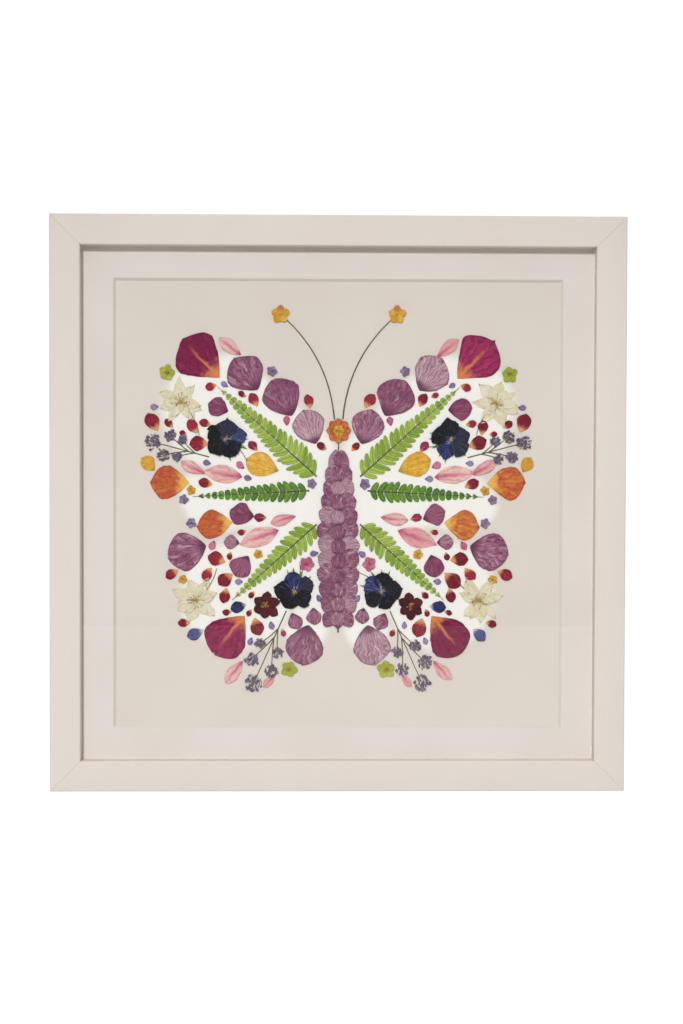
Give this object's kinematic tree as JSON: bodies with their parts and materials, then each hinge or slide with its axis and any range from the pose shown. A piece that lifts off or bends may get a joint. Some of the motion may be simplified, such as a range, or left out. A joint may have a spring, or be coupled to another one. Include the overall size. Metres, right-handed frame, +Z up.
{
  "type": "framed pressed-flower picture",
  "caption": "Square white box frame with a bevelled mat under glass, holding a butterfly laid out in pressed flowers and fern; hangs on a wall.",
  "frame": {"origin": "middle of the top rail's back face, where the frame meets the wall", "axes": "+X to the viewer's right, +Y into the wall, +Z up; the glass faces -Y"},
  "size_m": [0.47, 0.028, 0.47],
  "materials": {
    "paint": "satin white paint on wood",
    "glass": "clear picture glass",
    "card": "off-white mat card with a white bevel",
    "paper": "off-white matt paper",
    "fibreboard": "brown hardboard",
    "steel": "zinc-bright sheet",
    "fern": "pressed leaf, matt",
    "mauve": "pressed petal, matt",
    "wine": "pressed petal, matt",
    "orange": "pressed petal, matt",
    "pink": "pressed petal, matt",
    "blossom": "pressed petal, matt",
    "pansy": "pressed petal, matt",
    "sprig": "pressed florets, matt",
    "stem": "dried stem, matt"
  },
  "bodies": {
    "root": {"rail_top": "paint", "rail_right": "paint", "rail_bottom": "paint", "rail_left": "paint", "glass_pane": "glass", "spacer_frame": "paint", "window_mat": "card", "backing_paper": "paper", "backboard": "fibreboard", "tab_top": "steel", "tab_right": "steel", "tab_bottom": "steel", "tab_left": "steel", "hanger": "steel", "forewing_left_fern": "fern", "forewing_left_mauve_petal_1": "mauve", "forewing_left_mauve_petal_2": "mauve", "forewing_left_mauve_petal_3": "mauve", "forewing_left_wine_petal": "wine", "forewing_left_blossom": "blossom", "forewing_left_pansy": "pansy", "forewing_left_sprig": "sprig", "forewing_left_orange_petal": "orange", "forewing_left_yellow_petal": "orange", "forewing_left_pink_petal": "pink", "forewing_left_small_fern": "fern", "forewing_right_fern": "fern", "forewing_right_mauve_petal_1": "mauve", "forewing_right_mauve_petal_2": "mauve", "forewing_right_mauve_petal_3": "mauve", "forewing_right_wine_petal": "wine", "forewing_right_blossom": "blossom", "forewing_right_pansy": "pansy", "forewing_right_sprig": "sprig", "forewing_right_orange_petal": "orange", "forewing_right_yellow_petal": "orange", "forewing_right_pink_petal": "pink", "forewing_right_small_fern": "fern", "hindwing_left_fern": "fern", "hindwing_left_orange_petal": "orange", "hindwing_left_mauve_petal_1": "mauve", "hindwing_left_blossom": "blossom", "hindwing_left_wine_petal": "wine", "hindwing_left_sprig": "sprig", "hindwing_left_mauve_petal_2": "mauve", "hindwing_left_pansy": "pansy", "hindwing_left_pink_petal": "pink", "hindwing_right_fern": "fern", "hindwing_right_orange_petal": "orange", "hindwing_right_mauve_petal_1": "mauve", "hindwing_right_blossom": "blossom", "hindwing_right_wine_petal": "wine", "hindwing_right_sprig": "sprig", "hindwing_right_mauve_petal_2": "mauve", "hindwing_right_pansy": "pansy", "hindwing_right_pink_petal": "pink", "antenna_left": "stem", "antenna_right": "stem", "body_spike": "mauve", "head_bud": "orange"}
  },
  "joints": []
}
